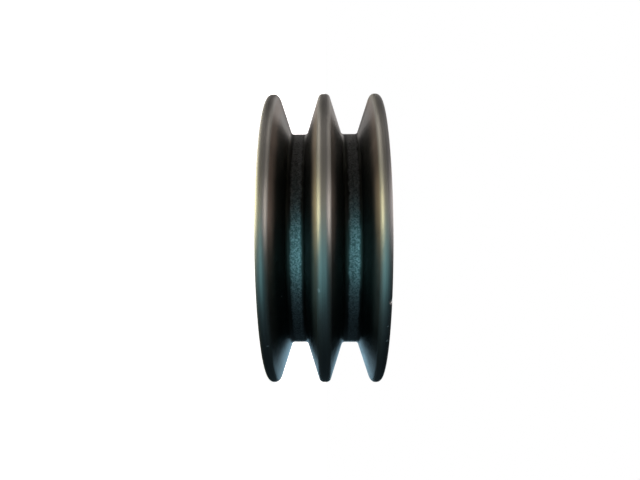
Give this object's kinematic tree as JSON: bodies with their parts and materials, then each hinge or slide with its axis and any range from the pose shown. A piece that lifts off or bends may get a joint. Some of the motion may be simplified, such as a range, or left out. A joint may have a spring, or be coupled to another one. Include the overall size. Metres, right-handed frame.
{
  "type": "alternator pulley",
  "caption": "Solid turned-steel V-belt pulley with deep V-grooves between round-edged rims, a plain shaft bore, a nut recess in front and a relieved rear face.",
  "frame": {"origin": "centre of the rear end face, on the shaft axis", "axes": "+Z along the shaft axis, from the rear face towards the front face with the nut recess; X and Y are any two square directions, because the pulley is round"},
  "size_m": [0.09, 0.09, 0.0336],
  "materials": {
    "blackened_steel": "black oxide on turned steel, with straw and blue-green tints on the rims"
  },
  "bodies": {
    "root": {"pulley": "blackened_steel"}
  },
  "joints": []
}
